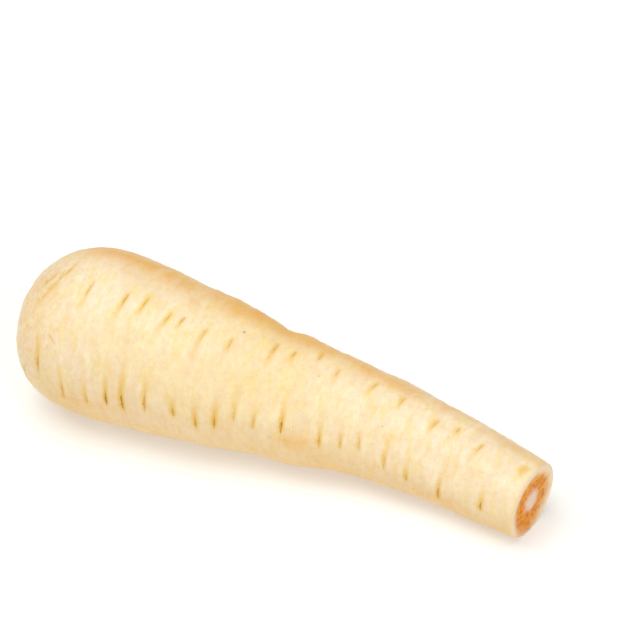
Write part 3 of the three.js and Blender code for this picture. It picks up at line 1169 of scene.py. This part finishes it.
def floor_finish(scene):
    """Plain matt floor that glows a little, so that it shows almost white."""
    finish = Finish("Studio floor")
    finish.set_shader({
        "Base Color": (*scene.parsnip_studio.floor, 1.0),
        "Emission Color": (1.0, 1.0, 1.0, 1.0),
        "Emission Strength": scene.parsnip_studio.floor_glow,
        "Roughness": 0.9,
        "Specular IOR Level": 0.1,
    })
    return finish.material


# The studio.

class PARSNIP_OT_add_studio(bpy.types.Operator):
    """Set up the plain floor, the soft lights and the camera"""
    bl_idname = "parsnip.add_studio"
    bl_label = "Add studio"
    bl_options = {"REGISTER", "UNDO"}

    def execute(self, context):
        studio = context.scene.parsnip_studio
        start_fresh()
        bpy.ops.mesh.primitive_plane_add(size=FLOOR_SIZE)
        floor = context.object
        floor.name = "studio_floor"
        floor.data.materials.append(floor_finish(context.scene))

        world = bpy.data.worlds.new("Studio sky")
        world.use_nodes = True
        background = world.node_tree.nodes["Background"]
        background.inputs["Color"].default_value = SKY_COLOUR
        background.inputs["Strength"].default_value = studio.sky
        context.scene.world = world

        for name, place, size, share in LIGHTS:
            self.add_light(name, place, size, studio.key_power * share)
        self.add_camera(context, studio)
        context.scene.view_settings.view_transform = "Standard"
        return {"FINISHED"}

    @staticmethod
    def add_light(name, place, size, power):
        """A large square area light that faces the parsnip."""
        turn = Vector(place).to_track_quat("Z", "Y").to_euler()
        bpy.ops.object.light_add(type="AREA", location=place, rotation=turn)
        light = bpy.context.object
        light.name = light.data.name = name
        light.data.size = size
        light.data.energy = power

    @staticmethod
    def add_camera(context, studio):
        """The camera, which looks past the parsnip's middle so that it shows at its pixel."""
        a, e = studio.azimuth, studio.elevation
        back = Vector((math.sin(a) * math.cos(e), -math.cos(a) * math.cos(e), math.sin(e)))
        right = Vector((math.cos(a), math.sin(a), 0))
        up = back.cross(right)
        per_pixel = studio.view_width / PICTURE_SIZE
        across = (PICTURE_SIZE / 2 - MIDDLE_PIXEL[0]) * per_pixel
        down = (PICTURE_SIZE / 2 - MIDDLE_PIXEL[1]) * per_pixel
        aim = MIDDLE + right * across - up * down
        turn = Matrix((right, up, back)).transposed().to_euler()
        bpy.ops.object.camera_add(location=aim + back * studio.distance, rotation=turn)
        camera = context.object
        camera.data.sensor_width = SENSOR
        camera.data.lens = SENSOR * studio.distance / studio.view_width
        camera.data.clip_end = FAR_CLIP
        context.scene.camera = camera


class PARSNIP_PT_panel(bpy.types.Panel):
    """The parsnip's sizes, colours and steps"""
    bl_idname = "PARSNIP_PT_panel"
    bl_label = "Parsnip"
    bl_space_type = "VIEW_3D"
    bl_region_type = "UI"
    bl_category = "Parsnip"

    def draw(self, context):
        for label, name, steps in PANEL_ROWS:
            box = self.layout.box()
            box.label(text=label)
            group = getattr(context.scene, name)
            for key in group.__annotations__:
                box.prop(group, key)
            for step in steps:
                box.operator(step)


PANEL_ROWS = [
    ("Skin", "parsnip_skin", ["parsnip.add_root"]),
    ("Scars", "parsnip_scars", []),
    ("Cuts", "parsnip_cuts", ["parsnip.add_stalk_bases"]),
    ("Studio", "parsnip_studio", ["parsnip.add_studio"]),
]
GROUPS = {
    "parsnip_skin": ParsnipSkin,
    "parsnip_scars": ParsnipScars,
    "parsnip_cuts": ParsnipCuts,
    "parsnip_studio": ParsnipStudio,
}
CLASSES = [
    *GROUPS.values(), PARSNIP_OT_add_root, PARSNIP_OT_add_stalk_bases, PARSNIP_OT_add_studio,
    PARSNIP_PT_panel,
]


def register():
    for each in CLASSES:
        bpy.utils.register_class(each)
    for name, group in GROUPS.items():
        setattr(bpy.types.Scene, name, PointerProperty(type=group))


def unregister():
    for name in GROUPS:
        delattr(bpy.types.Scene, name)
    for each in reversed(CLASSES):
        bpy.utils.unregister_class(each)


def main():
    register()
    bpy.ops.parsnip.add_root()
    bpy.ops.parsnip.add_stalk_bases()
    bpy.ops.parsnip.add_studio()


if __name__ == "__main__":
    main()
